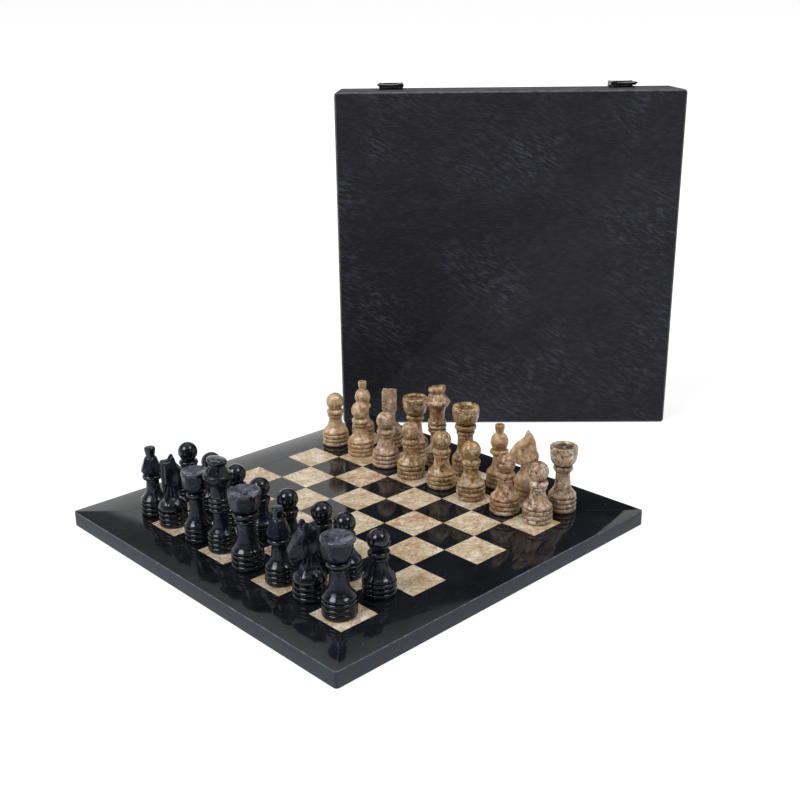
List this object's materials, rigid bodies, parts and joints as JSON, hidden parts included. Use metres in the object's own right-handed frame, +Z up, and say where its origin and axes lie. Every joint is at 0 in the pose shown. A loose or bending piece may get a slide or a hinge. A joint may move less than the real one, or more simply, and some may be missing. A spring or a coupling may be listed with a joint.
{
  "type": "chess set with board and case",
  "caption": "Inlaid stone chess board with turned and carved stone pieces set out on it, and a hinged carrying case with two lever latches standing behind.",
  "frame": {"origin": "centre of the board underside, on the surface that the set stands on", "axes": "+Z up; +Y towards the carrying case behind the board; +X along the case width; the board is turned 45 degrees so that its corners point along X and Y"},
  "size_m": [0.6173, 0.6287, 0.3862],
  "materials": {
    "core_stone": "sawn, unpolished",
    "border_marble": "polished top, honed grey edges",
    "black_marble": "polished",
    "cream_marble": "polished, with brown veins",
    "black_onyx": "polished",
    "coral_stone": "semi-polished, mottled",
    "leatherette": "grained, matte",
    "tray_foam": "flocked foam",
    "lid_velvet": "short pile",
    "black_metal": "black, semi-gloss",
    "plated_steel": "nickel plated"
  },
  "bodies": {
    "board": {"board_core": "core_stone", "border_front_left": "border_marble", "border_front_right": "border_marble", "border_back_right": "border_marble", "border_back_left": "border_marble", "dark_tiles": "black_marble", "light_tiles": "cream_marble"},
    "case_base": {"case_base_shell": "leatherette", "case_foam_tray": "tray_foam", "hinge_base_leaf_left": "plated_steel", "hinge_pin_left": "plated_steel", "latch_keeper_left": "black_metal", "hinge_base_leaf_right": "plated_steel", "hinge_pin_right": "plated_steel", "latch_keeper_right": "black_metal"},
    "case_lid": {"case_lid_shell": "leatherette", "case_lid_pad": "lid_velvet", "hinge_lid_leaf_left": "plated_steel", "latch_bracket_left": "black_metal", "latch_pin_left": "black_metal", "hinge_lid_leaf_right": "plated_steel", "latch_bracket_right": "black_metal", "latch_pin_right": "black_metal"},
    "latch_left": {"latch_lever_left": "black_metal"},
    "latch_right": {"latch_lever_right": "black_metal"},
    "black_rook_a": {"black_rook_a": "black_onyx"},
    "black_knight_b": {"black_knight_b": "black_onyx"},
    "black_bishop_c": {"black_bishop_c": "black_onyx"},
    "black_queen_d": {"black_queen_d": "black_onyx"},
    "black_king_e": {"black_king_e": "black_onyx"},
    "black_rook_f": {"black_rook_f": "black_onyx"},
    "black_knight_g": {"black_knight_g": "black_onyx"},
    "black_bishop_h": {"black_bishop_h": "black_onyx"},
    "black_pawn_a": {"black_pawn_a": "black_onyx"},
    "black_pawn_b": {"black_pawn_b": "black_onyx"},
    "black_pawn_c": {"black_pawn_c": "black_onyx"},
    "black_pawn_d": {"black_pawn_d": "black_onyx"},
    "black_pawn_e": {"black_pawn_e": "black_onyx"},
    "black_pawn_f": {"black_pawn_f": "black_onyx"},
    "black_pawn_g": {"black_pawn_g": "black_onyx"},
    "black_pawn_h": {"black_pawn_h": "black_onyx"},
    "coral_rook_a": {"coral_rook_a": "coral_stone"},
    "coral_knight_b": {"coral_knight_b": "coral_stone"},
    "coral_bishop_c": {"coral_bishop_c": "coral_stone"},
    "coral_queen_d": {"coral_queen_d": "coral_stone"},
    "coral_king_e": {"coral_king_e": "coral_stone"},
    "coral_rook_f": {"coral_rook_f": "coral_stone"},
    "coral_knight_g": {"coral_knight_g": "coral_stone"},
    "coral_bishop_h": {"coral_bishop_h": "coral_stone"},
    "coral_pawn_a": {"coral_pawn_a": "coral_stone"},
    "coral_pawn_b": {"coral_pawn_b": "coral_stone"},
    "coral_pawn_c": {"coral_pawn_c": "coral_stone"},
    "coral_pawn_d": {"coral_pawn_d": "coral_stone"},
    "coral_pawn_e": {"coral_pawn_e": "coral_stone"},
    "coral_pawn_f": {"coral_pawn_f": "coral_stone"},
    "coral_pawn_g": {"coral_pawn_g": "coral_stone"},
    "coral_pawn_h": {"coral_pawn_h": "coral_stone"}
  },
  "joints": [
    {"name": "case_lift", "type": "slide", "parent": "board", "child": "case_base", "axis": [0, 0, 1], "range_m": [0, 0.15]},
    {"name": "case_lid_hinge", "type": "hinge", "parent": "case_base", "child": "case_lid", "pos_m": [0.158, 0.3564, 0.0082], "axis": [-1, 0, 0], "range_deg": [0, 90]},
    {"name": "latch_left_pivot", "type": "hinge", "parent": "case_lid", "child": "latch_left", "pos_m": [0.028, 0.35, 0.3838], "axis": [-1, 0, 0], "range_deg": [0, 100]},
    {"name": "latch_right_pivot", "type": "hinge", "parent": "case_lid", "child": "latch_right", "pos_m": [0.288, 0.35, 0.3838], "axis": [-1, 0, 0], "range_deg": [0, 100]},
    {"name": "black_rook_a_lift", "type": "slide", "parent": "board", "child": "black_rook_a", "axis": [0, 0, 1], "range_m": [0, 0.1]},
    {"name": "black_knight_b_lift", "type": "slide", "parent": "board", "child": "black_knight_b", "axis": [0, 0, 1], "range_m": [0, 0.1]},
    {"name": "black_bishop_c_lift", "type": "slide", "parent": "board", "child": "black_bishop_c", "axis": [0, 0, 1], "range_m": [0, 0.1]},
    {"name": "black_queen_d_lift", "type": "slide", "parent": "board", "child": "black_queen_d", "axis": [0, 0, 1], "range_m": [0, 0.1]},
    {"name": "black_king_e_lift", "type": "slide", "parent": "board", "child": "black_king_e", "axis": [0, 0, 1], "range_m": [0, 0.1]},
    {"name": "black_rook_f_lift", "type": "slide", "parent": "board", "child": "black_rook_f", "axis": [0, 0, 1], "range_m": [0, 0.1]},
    {"name": "black_knight_g_lift", "type": "slide", "parent": "board", "child": "black_knight_g", "axis": [0, 0, 1], "range_m": [0, 0.1]},
    {"name": "black_bishop_h_lift", "type": "slide", "parent": "board", "child": "black_bishop_h", "axis": [0, 0, 1], "range_m": [0, 0.1]},
    {"name": "black_pawn_a_lift", "type": "slide", "parent": "board", "child": "black_pawn_a", "axis": [0, 0, 1], "range_m": [0, 0.1]},
    {"name": "black_pawn_b_lift", "type": "slide", "parent": "board", "child": "black_pawn_b", "axis": [0, 0, 1], "range_m": [0, 0.1]},
    {"name": "black_pawn_c_lift", "type": "slide", "parent": "board", "child": "black_pawn_c", "axis": [0, 0, 1], "range_m": [0, 0.1]},
    {"name": "black_pawn_d_lift", "type": "slide", "parent": "board", "child": "black_pawn_d", "axis": [0, 0, 1], "range_m": [0, 0.1]},
    {"name": "black_pawn_e_lift", "type": "slide", "parent": "board", "child": "black_pawn_e", "axis": [0, 0, 1], "range_m": [0, 0.1]},
    {"name": "black_pawn_f_lift", "type": "slide", "parent": "board", "child": "black_pawn_f", "axis": [0, 0, 1], "range_m": [0, 0.1]},
    {"name": "black_pawn_g_lift", "type": "slide", "parent": "board", "child": "black_pawn_g", "axis": [0, 0, 1], "range_m": [0, 0.1]},
    {"name": "black_pawn_h_lift", "type": "slide", "parent": "board", "child": "black_pawn_h", "axis": [0, 0, 1], "range_m": [0, 0.1]},
    {"name": "coral_rook_a_lift", "type": "slide", "parent": "board", "child": "coral_rook_a", "axis": [0, 0, 1], "range_m": [0, 0.1]},
    {"name": "coral_knight_b_lift", "type": "slide", "parent": "board", "child": "coral_knight_b", "axis": [0, 0, 1], "range_m": [0, 0.1]},
    {"name": "coral_bishop_c_lift", "type": "slide", "parent": "board", "child": "coral_bishop_c", "axis": [0, 0, 1], "range_m": [0, 0.1]},
    {"name": "coral_queen_d_lift", "type": "slide", "parent": "board", "child": "coral_queen_d", "axis": [0, 0, 1], "range_m": [0, 0.1]},
    {"name": "coral_king_e_lift", "type": "slide", "parent": "board", "child": "coral_king_e", "axis": [0, 0, 1], "range_m": [0, 0.1]},
    {"name": "coral_rook_f_lift", "type": "slide", "parent": "board", "child": "coral_rook_f", "axis": [0, 0, 1], "range_m": [0, 0.1]},
    {"name": "coral_knight_g_lift", "type": "slide", "parent": "board", "child": "coral_knight_g", "axis": [0, 0, 1], "range_m": [0, 0.1]},
    {"name": "coral_bishop_h_lift", "type": "slide", "parent": "board", "child": "coral_bishop_h", "axis": [0, 0, 1], "range_m": [0, 0.1]},
    {"name": "coral_pawn_a_lift", "type": "slide", "parent": "board", "child": "coral_pawn_a", "axis": [0, 0, 1], "range_m": [0, 0.1]},
    {"name": "coral_pawn_b_lift", "type": "slide", "parent": "board", "child": "coral_pawn_b", "axis": [0, 0, 1], "range_m": [0, 0.1]},
    {"name": "coral_pawn_c_lift", "type": "slide", "parent": "board", "child": "coral_pawn_c", "axis": [0, 0, 1], "range_m": [0, 0.1]},
    {"name": "coral_pawn_d_lift", "type": "slide", "parent": "board", "child": "coral_pawn_d", "axis": [0, 0, 1], "range_m": [0, 0.1]},
    {"name": "coral_pawn_e_lift", "type": "slide", "parent": "board", "child": "coral_pawn_e", "axis": [0, 0, 1], "range_m": [0, 0.1]},
    {"name": "coral_pawn_f_lift", "type": "slide", "parent": "board", "child": "coral_pawn_f", "axis": [0, 0, 1], "range_m": [0, 0.1]},
    {"name": "coral_pawn_g_lift", "type": "slide", "parent": "board", "child": "coral_pawn_g", "axis": [0, 0, 1], "range_m": [0, 0.1]},
    {"name": "coral_pawn_h_lift", "type": "slide", "parent": "board", "child": "coral_pawn_h", "axis": [0, 0, 1], "range_m": [0, 0.1]}
  ]
}
